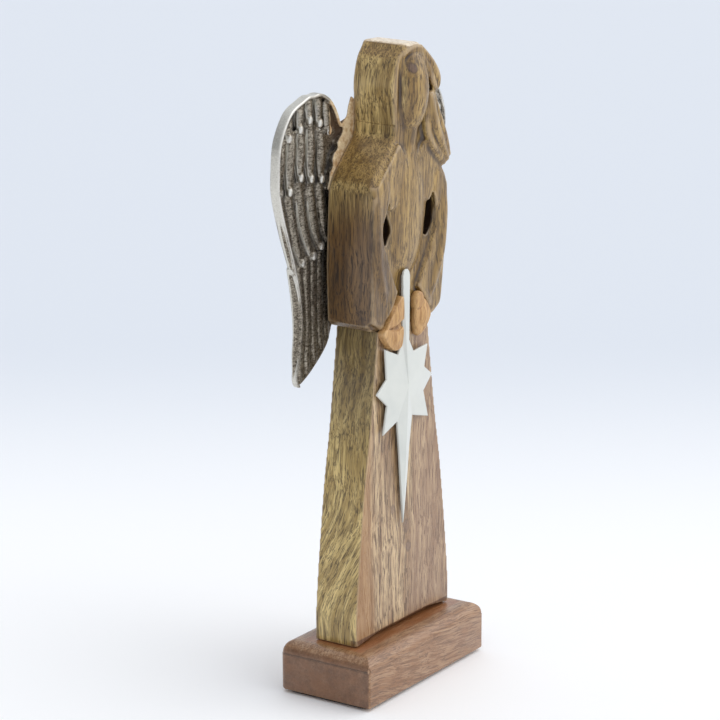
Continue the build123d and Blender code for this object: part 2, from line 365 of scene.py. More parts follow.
def make_robe():
    """The flared lower body, flat in front, with a wide chamfer under its front edge."""
    foot = robe_low.z
    flare = [
        (52.2, foot), (52.5, foot + 3), (52.5, foot + 18), (50.0, 77), (46.2, 107), (42.0, 136),
        (36.6, 165), (32.2, 195), (27.5, 228), (27.4, 230),
    ]
    outline = rounded(both_sides(flare), sharp=(0, 1, 9, 10, 18, 19), steps=4)
    robe = board("robe", outline, -board_half, board_half)
    pick(robe, "EDGE", lambda ends: all(end.z < foot + 0.1 and end.y < 0 for end in ends))
    bpy.ops.mesh.bevel(offset=foot_chamfer * mm, segments=1, affect="EDGES")
    bpy.ops.object.mode_set(mode="OBJECT")
    outward(robe)
    modify(robe, "BEVEL", width=1.0 * mm, segments=3, limit_method="ANGLE", angle_limit=radians(30))
    up_the_body = Matrix.Rotation(bow, 3, "X") @ Vector((0, 0, 1))
    fused = fuse("robe", [robe], robe_grain)
    pick(fused, "FACE", lambda corners: True)
    bpy.ops.mesh.bisect(plane_co=(0, 0, hem * mm), plane_no=up_the_body, use_fill=True, clear_outer=True)
    bpy.ops.object.mode_set(mode="OBJECT")
    return fused


# ---- upper body: torso, sleeves, neck, head and hair -------------------------------------------
torso_side = [
    (27.3, 228), (38.0, 233.2), (39.2, 247), (40.6, 262), (41.0, 277), (41.0, 309), (39.6, 316),
    (36.6, 321.5), (30.0, 329), (23.5, 336), (18.6, 341.5), (15.9, 346), (15.7, 352), (17.0, 365),
    (18.0, 375), (17.0, 383.2), (14.6, 391), (10.4, 396.6), (8.6, 399.4), (6.0, crown), (0.0, crown),
]
yoke = [
    (0, 318), (12, 309), (18, 303), (30, 303), (39.8, 303), (39.8, 310), (38.0, 316), (33.5, 322), (27.0, 329),
    (20.0, 336.5), (15.6, 341), (12.4, 339.5), (0, 323.5),
]
sleeve = [
    (27.4, 229), (38.0, 235.2), (39.3, 247), (41.0, 277), (41.0, 307), (38.4, 314.0), (30.0, 322),
    (25.0, 318), (24.0, 310), (25.0, 303), (29.0, 296), (29.4, 289), (27.0, 281), (23.8, 274),
    (17.5, 262), (11.5, 251.5),
]
slot_outer = [(24.0, 307.5), (27.8, 300), (28.6, 291), (26.4, 284), (22.4, 280.5)]
slot_inner = [(17.6, 284), (16.4, 290), (19.6, 300)]
right_slot_narrower = 2.4
arm_ridge = [
    (35.5, 13.5, 318), (36.5, 15.6, 303), (36.2, 16, 285), (34.5, 16, 268), (27, 15.8, 250), (24, 14.6, 240),
]
cuff_ridge = [(12.2, 16.8, 252), (18, 17.2, 246), (24, 17.0, 238.5), (29.5, 16, 232)]
scoop = [(22.0, 22.4, 290), (20.6, 22.0, 280), (16.4, 21.6, 268), (9.4, 22.0, 256)]
parting = [(11.0, 15.6, 395), (13.0, 15.8, 388), (13.2, 16.0, 376), (13.0, 16.2, 358), (13.6, 17, 344)]
neckline = [(13.5, 18.6, 338.5), (7, 19.6, 330), (0, 20.2, 322.5)]


def make_upper_body():
    """Torso and head are fused from carved forms as one, and then parted at the neck."""
    outline = rounded(both_sides(torso_side), sharp=(0, 1, 18, 38, 39), steps=3)
    forms = [
        board("block", outline, -board_half, 12, 0.8),
        board("front", outline, 0, board_half, 2.6),
        rod("neck", [(0, 9.0, 318), (0, 9.2, 334), (0, 10, 352)], [8, 8.6, 9.4]),
        egg("chest", (0, 11.2, 300), (23.5, 8.8, 47)),
    ]
    for side in (1, -1):
        forms.append(board("sleeve", sided(rounded(sleeve, sharp=(0, 1, 15), steps=4), side), 0, 18.9, 2.8))
        forms.append(board("yoke", sided(rounded(yoke, sharp=(0, 12), steps=3), side), 0, 18.2, 2.6))
        forms.append(rod("arm_ridge", sided(arm_ridge, side), [4, 5, 5.2, 5.4, 5.2, 4]))
        forms.append(rod("cuff", sided(cuff_ridge, side), [1.6, 2.9, 3.0, 1.8]))
    forms += head_forms() + hair_forms()
    body = fuse("upper_body", forms, carving_grain, passes=1)
    cutters = []
    for side in (1, -1):
        narrower = 0 if side > 0 else right_slot_narrower
        slot = slot_outer + [(x + narrower, height) for x, height in slot_inner]
        cutters.append(board("slot", sided(rounded(slot, steps=4), side), 3, 40, 0.8))
        cutters.append(rod("scoop", sided(scoop, side), [5.6, 7.4, 7.0, 4.6]))
        cutters.append(rod("parting", sided(parting, side), [0.6, 1.7, 1.9, 1.7, 0.8]))
        cutters.append(rod("neckline", sided(neckline, side), [0.8, 1.3, 1.3]))
    carve(body, cutters)
    return fuse("upper_body", [body], carving_grain, passes=4)


def head_forms():
    """A blank oval face under a low ridge of hair at the crown."""
    forms = [egg("face", (0.4, 13.4, 371.5), (12.6, 11.4, 25.5))]
    ridge = [(-12.4, 13, 391.4), (-9, 14.6, 395.4), (-3, 15.6, 397.6), (4, 16.2, 397.4), (9, 16, 394)]
    forms.append(rod("crown_ridge", ridge, [1.8, 2.4, 2.6, 2.8, 2.6]))
    return forms


def hair_forms():
    """Two swept locks on the figure's left, each of a few ridged strands over a thicker mass."""
    curl_mass = [(3, 397.5), (9, 394), (17, 385), (23, 377), (24.4, 372), (20.5, 368.6), (15.5, 371), (9, 382)]
    fall_mass = [
        (13, 369), (19, 369.5), (25, 353), (33, 339), (40, 328.6), (38, 323), (33, 322.5), (24, 330), (14.5, 337),
        (9.8, 346), (11.5, 357),
    ]
    forms = [
        board("curl_mass", rounded(curl_mass, steps=3), 6, 16.2, 2.0),
        board("fall_mass", rounded(fall_mass, steps=3), 5, 16.0, 2.0),
    ]
    curl_back = [(5, 16, 398), (13, 18.0, 390.5), (19.6, 19.2, 382), (23.4, 19, 375.5), (22.6, 18.4, 371)]
    curl_front = [(1.5, 17, 396), (8, 18.6, 389), (14, 19.6, 380), (18.4, 19.6, 373.5), (20.5, 18.6, 370)]
    fall_outer = [(18, 17, 371), (24.6, 18.4, 354), (32.6, 19.4, 339.5), (39.2, 18.8, 328)]
    fall_middle = [(15, 18, 370), (18.4, 20.0, 352), (26.4, 20.6, 338.5), (36.8, 19.4, 325.8)]
    fall_inner = [(13.4, 16.4, 366), (12.2, 18.4, 352), (16.6, 19.0, 340), (26, 18.8, 331.5), (35, 18.2, 323.6)]
    strands = [
        (curl_back, [2.0, 2.6, 2.8, 2.4, 1.8]),
        (curl_front, [1.6, 2.2, 2.4, 2.1, 1.5]),
        (fall_outer, [2.6, 3.1, 3.1, 1.7]),
        (fall_middle, [2.8, 3.4, 3.3, 1.7]),
        (fall_inner, [2.4, 2.9, 3.0, 2.9, 1.7]),
    ]
    for path, radii in strands:
        forms.append(rod("strand", path, radii, depth=0.95))
    return forms


def mark_joint(body):
    """A fine groove where the head was glued on, on the sides and back only."""
    half_groove, depth = 0.9, 0.45
    for vertex in body.data.vertices:
        x, y, z = vertex.co / mm
        near = max(0.0, 1 - abs(z - neck) / half_groove)
        on_back = y > board_half - 1
        if near and (abs(x) > 14.6 or on_back) and y > -14:
            vertex.co.x -= depth * near * (1 if x > 0 else -1) * mm
            vertex.co.y -= depth * near * on_back * mm


# ---- hands -------------------------------------------------------------------------------------
def make_right_hand():
    """The nearer hand: a palm facet over a lower one, with a carved groove between them."""
    fingers = [(-25.5, 231), (-18, 240.5), (-10.4, 248.4), (-8.1, 246), (-7.6, 231.5), (-14, 229.6)]
    palm = [
        (-29.8, 228.0), (-26, 230.6), (-17.5, 228.6), (-8.2, 229.2), (-7.9, 220), (-10, 216), (-16.5, 215.4),
        (-24, 220.4),
    ]
    web = [(-24, 228), (-16, 236), (-8, 236), (-8.2, 224), (-20, 224)]
    forms = [
        board("fingers", rounded(fingers, sharp=(0, 2), steps=4), board_half, 21.0, 1.8),
        board("palm", rounded(palm, sharp=(0,), steps=4), board_half, 21.4, 2.2),
        egg("heel", (-15.5, 17.4, 222.5), (8.6, 5.0, 7.0)),
        egg("back", (-14, 17.4, 237), (6.4, 4.6, 7.0)),
        board("web", web, board_half, 18.6),
    ]
    hand = fuse("right_hand_carved", forms, hand_grain, passes=1)
    crease = [(-24, 21.0, 230.4), (-18, 21.4, 229.0), (-12, 21.2, 229.8), (-7, 20.8, 232)]
    carve(hand, [rod("crease", crease, [0.8, 1.7, 2.4, 2.2])])
    return fuse("right_hand_carved", [hand], hand_grain, passes=2)


def make_left_hand():
    """The farther hand: a small thumb lobe over a longer lobe of fingers."""
    thumb = [(5.4, 242.4), (9.0, 247.6), (13.6, 246.4), (15.6, 240.6), (12.8, 235.4), (7.6, 235.4)]
    fingers = [
        (7.2, 238), (14, 243), (20.4, 240), (25.4, 232), (23.4, 226.4), (18.6, 221.4), (12.6, 218.8), (8.0, 223),
    ]
    forms = [
        board("thumb", rounded(thumb, steps=4), board_half, 21.2, 2.2),
        board("fingers", rounded(fingers, steps=4), board_half, 20.2, 2.4),
        egg("knuckles", (16, 16.4, 231), (8.0, 5.2, 9.6)),
    ]
    hand = fuse("left_hand_carved", forms, hand_grain, passes=1)
    crease = [(5, 20.6, 236.5), (10, 21.6, 235.6), (14.4, 21.8, 239.0), (17.0, 21, 246)]
    carve(hand, [rod("crease", crease, [1.4, 1.8, 1.6, 1.2])])
    return fuse("left_hand_carved", [hand], hand_grain, passes=2)


# ---- star --------------------------------------------------------------------------------------
def make_star():
    """Eight ridged hand-cut points; the upper one is a long blunt spike, the lower one a long needle."""
    up, down = 73.0, 88.0
    spike = 3.8
    gap, rim, ridge = 1.2, 2.4, 5.0     # distances from the robe: back, rim and ridges
    outline = [
        (0, -down), (3.4, -62), (5.4, -41), (8.4, -20.6), (27.0, -25.3), (21.2, -7.6), (30.9, 1.4), (21.8, 7.8),
        (25.1, 21.6), (9.4, 20.0), (spike, 29), (spike, up - 4), (2.9, up - 1.4), (1.5, up - 0.2), (0, up),
        (-1.5, up - 0.2), (-2.9, up - 1.4), (-spike, up - 4), (-spike, 29), (-8.2, 21.2), (-22.4, 27.0),
        (-20.6, 7.8), (-31.2, 0.4), (-19.8, -8.8), (-23.6, -26.6), (-8.4, -21.2), (-5.6, -41), (-3.4, -62),
    ]
    star = board("star", outline, gap, rim)
    pick(star, "FACE", lambda corners: all(corner.y < 0.1 - rim for corner in corners))
    bpy.ops.mesh.poke()
    bpy.ops.object.mode_set(mode="OBJECT")
    star.data.vertices[-1].co = (0, -ridge * mm, 0)
    pick(star, "EDGE", lambda ends: all(abs(end.y + rim) < 0.05 for end in ends))
    bpy.ops.mesh.bevel(offset=0.5 * mm, segments=3, affect="EDGES")
    bpy.ops.object.mode_set(mode="OBJECT")
    tilt = Matrix.Rotation(star_tilt, 4, "X")
    tip = Matrix.Translation(Vector((star_place[0], -board_half, star_place[1] - down)) * mm)
    lift = Matrix.Translation((0, 0, down * mm))
    star.data.transform(tip @ tilt @ lift)
    outward(star)
    smooth(star, 16)
    return star


# ---- wings -------------------------------------------------------------------------------------
wing_edge = [
    (30, 224), (32.8, 217), (38.3, 211), (45.8, 205), (54.3, 199.4), (64.5, 195.6), (68.8, 202), (66.0, 216),
    (64.4, 231), (65.4, 245), (69.6, 261), (75.0, 276), (81.6, 292), (87.4, 307), (90.6, 319), (90.9, 331),
    (90.2, 344), (87.0, 353), (81.5, 361.5), (76.0, 366), (67.5, 369.4), (61.5, 371.6), (56, 371.6), (51, 372.2),
    (45.5, 371.0), (40.0, 368.2), (35.4, 364.0), (31.0, 358.0), (27.0, 351.5), (21.5, 354), (17.4, 366.8),
    (14.4, 364), (12, 346), (6, 332), (6, 285), (12, 272), (23, 246),
]
feather_rows = [
    # rise over the wing's back face, then each feather's path from its root to its tip
    (4.9, [
        [(77.5, 361), (80.4, 355), (80.6, 346.5)],
        [(66.5, 367), (69.4, 360), (69.6, 350.5)],
        [(58.6, 369.5), (60.2, 363), (60.2, 355.0)],
        [(49.4, 370.5), (50.2, 362), (49.8, 352.0)],
        [(41.6, 366.0), (41.6, 357), (40.4, 346.5)],
    ]),
    (4.1, [
        [(81.5, 352), (86.2, 342), (87.2, 329), (87.2, 315.0)],
        [(73.0, 352), (76.0, 342), (77.2, 329), (77.4, 314.5)],
        [(65.0, 356), (66.2, 343), (66.6, 332), (66.6, 321.5)],
        [(55.4, 355), (56.2, 343), (56.2, 331), (55.8, 319.5)],
        [(44.6, 350), (45.6, 340), (45.6, 329), (45.2, 318.0)],
    ]),
    (3.3, [
        [(86.0, 318), (82.4, 302), (76.4, 285), (71.0, 266.5)],
        [(76.2, 318), (74.0, 302), (68.6, 286), (61.6, 269.5)],
        [(65.2, 324), (64.4, 306), (58.6, 289), (50.4, 272.0)],
        [(53.6, 322), (53.0, 306), (49.0, 291), (42.6, 277.0)],
        [(43.6, 320), (42.4, 306), (39.4, 293), (34.6, 281.0)],
    ]),
    (2.5, [
        [(70.6, 270), (67.0, 250), (65.4, 230), (67.4, 212), (67.6, 199)],
        [(63.0, 272), (62.0, 250), (60.4, 230), (61.4, 212), (61.2, 199)],
        [(54.6, 274), (56.2, 252), (54.8, 232), (54.8, 216), (53.4, 202.5)],
        [(47.0, 277), (49.8, 254), (48.8, 236), (47.8, 221), (45.2, 208.0)],
        [(39.4, 279), (43.2, 256), (42.6, 240), (41.4, 226), (38.0, 213.5)],
        [(32.6, 278), (36.6, 258), (36.8, 243), (36.0, 230), (33.0, 219.5)],
    ]),
]
# a feather's half widths along its path, for paths of 3, 4 and 5 places
feather_swell = {3: [3.0, 4.6, 1.7], 4: [3.0, 4.3, 4.4, 1.5], 5: [3.2, 3.9, 3.9, 3.5, 1.1]}
root_rim = [
    (14.0, 364), (17.4, 366.6), (20.2, 361), (21.4, 355.4), (25.4, 352.0), (25.0, 347), (27.4, 343.5),
    (30.4, 340.4), (29.8, 336.6), (33.4, 334.4), (35.2, 330.4), (34.4, 326.6), (37.2, 323), (37.8, 318.6),
    (39.6, 313.4), (31, 306), (20, 290), (10, 284), (6.4, 290), (6.4, 332), (12.4, 346),
]
upper_veins = [
    [(46, 360), (50, 330), (44, 290)], [(58, 362), (62, 326), (55, 284)], [(70, 358), (73, 326), (66, 290)],
]
lower_veins = [
    [(34, 284), (39, 250), (39, 220)], [(46, 280), (49, 246), (47, 210)], [(57, 274), (57, 240), (56, 204)],
]
wing_rim = 2.2                      # width of the raised rim, and depth of the floor inside it


def wing_recess(outline):
    """The outline moved in to leave a rim, and out where the wing has none: below and at its root."""
    count = len(outline)
    edges = [(outline[i], outline[(i + 1) % count]) for i in range(count)]
    turn = sum(a[0] * b[1] - b[0] * a[1] for a, b in edges)
    inner = []
    for i in range(count):
        along = Vector(outline[(i + 1) % count]) - Vector(outline[i - 1])
        x, height = outline[i]
        amount = -4.0 if (x < 62 and height < 228) or x < 24 else wing_rim
        inward = Vector((-along.y, along.x)).normalized() * (amount if turn > 0 else -amount)
        inner.append(tuple(Vector(outline[i]) + inward))
    return inner


def make_left_wing():
    """A cast plate with a raised rim, four rows of overlapping feathers and a scalloped root flange."""
    edge = rounded(wing_edge, sharp=(30,), steps=3)
    plate = board("plate", edge, wing_back, -board_half - 0.4, 0.9)
    floor = wing_back + wing_rim
    carve(plate, [board("recess", wing_recess(edge), floor, 0)])
    forms = [plate]
    for rise, feathers in feather_rows:
        for path in feathers:
            slope = [0.9 * rise - 1.2] + [rise] * (len(path) - 2) + [rise + 0.5]
            spine = [(x, wing_back + lift - 0.2, height) for (x, height), lift in zip(path, slope)]
            forms.append(rod("feather", spine, feather_swell[len(path)], depth=0.62))
            if feathers is not feather_rows[-1][1]:
                x, height = path[-1]
                forms.append(egg("tip", (x, wing_back + rise + 1.4, height + 2.4), (2.3, 1.5, 3.0)))
    flange = rounded(root_rim, sharp=(0, 1, 14), steps=2)
    forms.append(board("flange", flange, floor - 1, -board_half - 0.3, 0.8))
    for veins, radii in ((upper_veins, [2.6, 3.6, 1.8]), (lower_veins, [2.2, 3.2, 1.4])):
        for path in veins:
            spine = [(x, wing_back + 1.0, height) for x, height in path]
            forms.append(rod("back_vein", spine, radii, depth=0.35))
    return fuse("left_wing_cast", forms, wing_grain, passes=2)


def thin_down(wing):
    """Tapers the casting toward its front face: along the primaries, and at the top of the root flange."""
    front = -board_half
    for vertex in wing.data.vertices:
        x, y, z = vertex.co / mm
        lower = part_way(z, 288, 228)
        root = part_way(z, 334, 346) * part_way(x, 27, 23)
        keep = (1 - 0.45 * lower) * (1 - 0.72 * root)
        vertex.co.y = -(front + (-y - front) * keep) * mm


def keep_off_body(wing):
    """Presses the wing's front flat where it would reach into the torso's back."""
    limit = -board_half - 0.15
    for vertex in wing.data.vertices:
        if -vertex.co.y / mm > limit and vertex.co.x < 42 * mm:
            vertex.co.y = -limit * mm


def make_wings():
    left = make_left_wing()
    thin_down(left)
    keep_off_body(left)
    mark_hollows(left, depth=0.9, rounds=20)
    right = copy_of(left, "right_wing_cast")
    right.data.transform(Matrix.Scale(-1, 4, (1, 0, 0)))
    outward(right)
    return left, right


# ---- shader helpers ----------------------------------------------------------------------------
def feed(tree, target, inputs):
    """Sets inputs of a node, each to a constant or from the socket that feeds it."""
    for label, value in inputs.items():
        if isinstance(value, bpy.types.NodeSocket):
            tree.links.new(value, target.inputs[label])
        else:
            target.inputs[label].default_value = value


def node(tree, kind, inputs=None, **settings):
    made = tree.nodes.new(kind)
    for name, value in settings.items():
        setattr(made, name, value)
    feed(tree, made, inputs or {})
    return made


def stretched(tree, vector, scale):
    """The coordinates squeezed so that a texture of scale 1 has this many cells per metre on each axis."""
    return node(tree, "ShaderNodeMapping", {"Vector": vector, "Scale": scale}).outputs[0]


def noise(tree, vector, scale=1.0, detail=2.0, roughness=0.5):
    inputs = {"Vector": vector, "Scale": scale, "Detail": detail, "Roughness": roughness}
    return node(tree, "ShaderNodeTexNoise", inputs).outputs[0]


def ramp(tree, value, low, high, bottom=0.0, top=1.0):
    """A soft step from bottom to top as the value goes from low to high."""
    inputs = {0: value, 1: low, 2: high, 3: bottom, 4: top}
    return node(tree, "ShaderNodeMapRange", inputs, interpolation_type="SMOOTHSTEP").outputs[0]


def maths(tree, operation, first, second=0.0):
    return node(tree, "ShaderNodeMath", {0: first, 1: second}, operation=operation).outputs[0]


def times(tree, product, *others):
    for other in others:
        product = maths(tree, "MULTIPLY", product, other)
    return product


def inverse(tree, mask):
    return maths(tree, "SUBTRACT", 1.0, mask)


def vector_maths(tree, operation, first, second=(0.0, 0.0, 0.0)):
    """Gives the vector for the likes of ADD, and the number for DOT_PRODUCT and LENGTH."""
    made = node(tree, "ShaderNodeVectorMath", {0: first, 1: second}, operation=operation)
    return made.outputs[1 if operation in ("DOT_PRODUCT", "LENGTH") else 0]


def split_axes(tree, vector):
    return node(tree, "ShaderNodeSeparateXYZ", {0: vector}).outputs


def facing(tree, axis):
    """How squarely the surface faces along an axis, -1 to 1."""
    return split_axes(tree, node(tree, "ShaderNodeNewGeometry").outputs["Normal"])[axis]


def blend(tree, amount, first, second, mode="MIX"):
    """Mixes two colours."""
    inputs = {0: amount, 6: first, 7: second}
    return node(tree, "ShaderNodeMix", inputs, data_type="RGBA", blend_type=mode).outputs[2]


def colour(red, green, blue):
    """A colour given as it is seen, 0 to 255, turned into the shader's linear values."""
    shades = []
    for shade in (red, green, blue):
        shade /= 255
        shades.append(shade / 12.92 if shade <= 0.04045 else ((shade + 0.055) / 1.055) ** 2.4)
    return (*shades, 1.0)


def new_group(name, inputs, outputs):
    """An empty node group with named inputs, as {name: default}, and outputs, as {name: kind}."""
    tree = bpy.data.node_groups.new(name, "ShaderNodeTree")
    kinds = {float: "NodeSocketFloat", tuple: "NodeSocketColor", str: "NodeSocketVector"}
    for label, default in inputs.items():
        socket = tree.interface.new_socket(name=label, in_out="INPUT", socket_type=kinds[type(default)])
        if not isinstance(default, str):
            socket.default_value = default
    for label, kind in outputs.items():
        tree.interface.new_socket(name=label, in_out="OUTPUT", socket_type=kind)
    return tree, tree.nodes.new("NodeGroupInput").outputs, tree.nodes.new("NodeGroupOutput").inputs


def use(tree, group, inputs):
    """Places a group in a material."""
    placed = node(tree, "ShaderNodeGroup", node_tree=group)
    feed(tree, placed, inputs)
    return placed.outputs


# ---- shared effects ----------------------------------------------------------------------------
def make_grain_group():
    """Open-pored wood: soft bands, fine fibres and short dark pores, all running up the board."""
    inputs = {
        "Place": "", "Pale": (1.0,) * 4, "Mid": (0.5,) * 4, "Deep": (0.1,) * 4,
        "Bands": 1.0, "Pores": 1.0, "Pore width": 1.0,
    }
    outputs = {"Color": "NodeSocketColor", "Height": "NodeSocketFloat", "Pore mask": "NodeSocketFloat"}
    tree, given, made = new_group("wood_grain", inputs, outputs)
    sway = node(tree, "ShaderNodeTexNoise", {"Vector": given["Place"], "Scale": 16.0, "Detail": 2.0}).outputs[1]
    centred = vector_maths(tree, "SUBTRACT", sway, (0.5, 0.5, 0.5))
    drift = vector_maths(tree, "MULTIPLY", centred, (0.012, 0.012, 0.0))
    place = vector_maths(tree, "ADD", given["Place"], drift)
    bands = noise(tree, stretched(tree, place, (170, 170, 9)), detail=4, roughness=0.65)
    fibres = noise(tree, stretched(tree, place, (620, 620, 30)), detail=4, roughness=0.7)
    fine = {0: stretched(tree, place, (1250, 1250, 68)), 3: given["Pore width"]}
    pore_place = node(tree, "ShaderNodeVectorMath", fine, operation="SCALE").outputs[0]
    pores = ramp(tree, noise(tree, pore_place, detail=2, roughness=0.6), 0.535, 0.60)
    band_mask = times(tree, ramp(tree, bands, 0.36, 0.66), given["Bands"])
    base = blend(tree, band_mask, given["Pale"], given["Mid"])
    fibre_mask = ramp(tree, fibres, 0.44, 0.64, 0.0, 0.85)
    fibred = blend(tree, fibre_mask, base, blend(tree, 0.5, given["Mid"], given["Deep"]))
    pore_mask = times(tree, pores, given["Pores"])
    tree.links.new(blend(tree, pore_mask, fibred, given["Deep"]), made["Color"])
    tree.links.new(maths(tree, "SUBTRACT", times(tree, fibres, 0.35), pore_mask), made["Height"])
    tree.links.new(pore_mask, made["Pore mask"])
    return tree


def make_wash_shade_wear_group():
    """Dark wash with painted shade in hollows, and pale rubbed edges, from each point's noted depth."""
    inputs = {
        "Place": "", "Color": (0.5,) * 4, "Shade and wash": (0.05,) * 4, "Rubbed": (0.8,) * 4,
        "Shade and wash amount": 1.0, "Rub amount": 1.0, "Depth": 0.0,
    }
    outputs = {"Color": "NodeSocketColor", "Shade and wash mask": "NodeSocketFloat"}
    tree, given, made = new_group("wash_shade_and_wear", inputs, outputs)
    broken = noise(tree, given["Place"], scale=260.0, detail=4, roughness=0.65)
    depth = maths(tree, "ADD", given["Depth"], times(tree, maths(tree, "SUBTRACT", broken, 0.5), 0.35))
    # painted shade: hollows are darkened together with the wash, deeper hollows more
    shade_and_wash = times(tree, ramp(tree, depth, 0.12, 0.75), given["Shade and wash amount"])
    rub = times(tree, ramp(tree, depth, -0.35, -0.9), given["Rub amount"])
    shade_washed = blend(tree, shade_and_wash, given["Color"], given["Shade and wash"])
    tree.links.new(blend(tree, rub, shade_washed, given["Rubbed"]), made["Color"])
    tree.links.new(shade_and_wash, made["Shade and wash mask"])
    return tree


def make_knot_group():
    """A small round knot: how near a place is to it, seen along the board's thickness, 1 at its middle."""
    inputs = {"Place": "", "Middle": "", "Radius": 0.004}
    tree, given, made = new_group("knot", inputs, {"Mask": "NodeSocketFloat", "Ring": "NodeSocketFloat"})
    apart = vector_maths(tree, "SUBTRACT", given["Place"], given["Middle"])
    reach = vector_maths(tree, "LENGTH", vector_maths(tree, "MULTIPLY", apart, (1.0, 0.3, 0.8)))
    uneven = noise(tree, given["Place"], scale=420.0, detail=2)
    wobble = times(tree, maths(tree, "SUBTRACT", uneven, 0.5), 0.9)
    turns = maths(tree, "ADD", maths(tree, "DIVIDE", reach, given["Radius"]), wobble)
    tree.links.new(ramp(tree, turns, 1.15, 0.75), made["Mask"])
    ring = ramp(tree, maths(tree, "ABSOLUTE", maths(tree, "SUBTRACT", turns, 1.0)), 0.35, 0.05)
    tree.links.new(ring, made["Ring"])
    return tree


grain_group = make_grain_group()
wash_shade_wear_group = make_wash_shade_wear_group()
knot_group = make_knot_group()


# ---- materials ---------------------------------------------------------------------------------
def new_material(name):
    material = bpy.data.materials.new(name)
    material.use_nodes = True
    tree = material.node_tree
    shader = tree.nodes["Principled BSDF"]
    place = node(tree, "ShaderNodeTexCoord").outputs["Object"]
    return material, tree, shader, place


def bump(tree, shader, height, strength, distance):
    inputs = {"Strength": strength, "Distance": distance * mm, "Height": height}
    tree.links.new(node(tree, "ShaderNodeBump", inputs).outputs[0], shader.inputs["Normal"])


def side_mask(tree):
    """1 on the board's sawn sides, which face along X, and 0 on its front and back."""
    return ramp(tree, maths(tree, "ABSOLUTE", facing(tree, 0)), 0.78, 0.94)


def top_mask(tree):
    """1 on surfaces that face the sky."""
    return ramp(tree, facing(tree, 2), 0.72, 0.88)


def tones(pale, mid, deep, bands=1.0, pores=1.0, width=1.0):
    """Inputs for the wood grain: its three colours, and how strong its bands and pores are."""
    return {
        "Pale": colour(*pale), "Mid": colour(*mid), "Deep": colour(*deep),
        "Bands": bands, "Pores": pores, "Pore width": width,
    }


def shade_and_wear_over(tree, place, under, shade_and_wash, rubbed, amounts):
    """The wash with painted shade in the hollows, and the wear, over a colour, at the depths noted on the piece.
    """
    return use(tree, wash_shade_wear_group, {
        "Place": place, "Color": under, "Shade and wash": colour(*shade_and_wash), "Rubbed": colour(*rubbed),
        "Shade and wash amount": amounts[0], "Rub amount": amounts[1],
        "Depth": node(tree, "ShaderNodeAttribute", attribute_name="hollow").outputs["Fac"],
    })


def ahead_of_board(tree, place):
    """How far a place on the bowed upper body stands ahead of the board's middle, in metres."""
    along = vector_maths(tree, "DOT_PRODUCT", place, (0.0, -cos(bow), -sin(bow)))
    return maths(tree, "ADD", along, hem * mm * sin(bow))


def cloud(tree, value, broad, amount):
    """A place's coordinate with broad soft noise added, so that a change of colour isn't straight."""
    return maths(tree, "ADD", value, times(tree, broad, amount))


def robe_wood_colour(tree, place, wood, side, broad):
    """Tawny on the right edge, rosy on the left, darker up the sides, and painted shade on the downward-facing
    front chamfer.
    """
    x, y, z = split_axes(tree, place)
    front = inverse(tree, side)
    tawny = ramp(tree, cloud(tree, x, broad, 0.020), -0.020, -0.034)
    wood = blend(tree, times(tree, tawny, front, 0.75), wood, colour(150, 106, 56))
    dim = ramp(tree, cloud(tree, z, broad, 0.04), 0.150, 0.235, 0.0, 0.62)
    wood = blend(tree, times(tree, dim, side), wood, colour(84, 70, 38), "MULTIPLY")
    rosy = ramp(tree, cloud(tree, x, broad, 0.03), 0.016, 0.030, 0.0, 0.45)
    wood = blend(tree, times(tree, rosy, front), wood, colour(144, 112, 90))
    # painted shade on the front chamfer, which faces down
    foot = times(tree, ramp(tree, z, 0.0386, 0.0376), ramp(tree, y, -0.010, -0.0112))
    return blend(tree, times(tree, foot, 0.8), wood, colour(128, 92, 62), "MULTIPLY")


def upper_wood_colour(tree, place, wood, side, broad):
    """Umber on the sleeves and the right arm, painted shade in the slots, painted light on the upward faces at
    the crown.
    """
    x, y, z = split_axes(tree, place)
    umber = ramp(tree, cloud(tree, z, broad, 0.05), 0.352, 0.308, 0.0, 0.88)
    right_arm = ramp(tree, x, -0.018, -0.028, 0.15, 0.75)
    umber = times(tree, umber, maths(tree, "MAXIMUM", right_arm, side))
    wood = blend(tree, umber, wood, colour(120, 90, 64), "MULTIPLY")
    across = maths(tree, "ABSOLUTE", x)
    # painted shade: near black deep inside the slots
    slot_shade_depth = ramp(tree, ahead_of_board(tree, place), 0.0166, 0.0138)
    within_x = times(tree, ramp(tree, across, 0.0312, 0.0302), ramp(tree, across, 0.0135, 0.0150))
    within_z = times(tree, ramp(tree, z, 0.276, 0.279), ramp(tree, z, 0.312, 0.309))
    wood = blend(tree, times(tree, slot_shade_depth, within_x, within_z), wood, colour(34, 20, 10))
    # painted light: the upward faces at the crown are made pale
    crown_light_mottle = noise(tree, stretched(tree, place, (900, 300, 900)), detail=4, roughness=0.7)
    crown_top_light = blend(tree, ramp(tree, crown_light_mottle, 0.42, 0.62), colour(250, 234, 208), colour(200, 174, 140))
    at_crown = ramp(tree, z, 0.366, 0.376, 0.0, 0.9)
    return blend(tree, times(tree, top_mask(tree), at_crown), wood, crown_top_light)


robe_front = tones((206, 178, 138), (142, 110, 76), (62, 38, 22), pores=0.74)
robe_flank = tones((222, 196, 132), (166, 138, 78), (50, 34, 14), pores=0.66)
upper_front = tones((178, 146, 86), (130, 100, 50), (56, 36, 16), pores=0.66)
upper_flank = tones((214, 186, 124), (154, 126, 74), (50, 34, 16), pores=0.74)


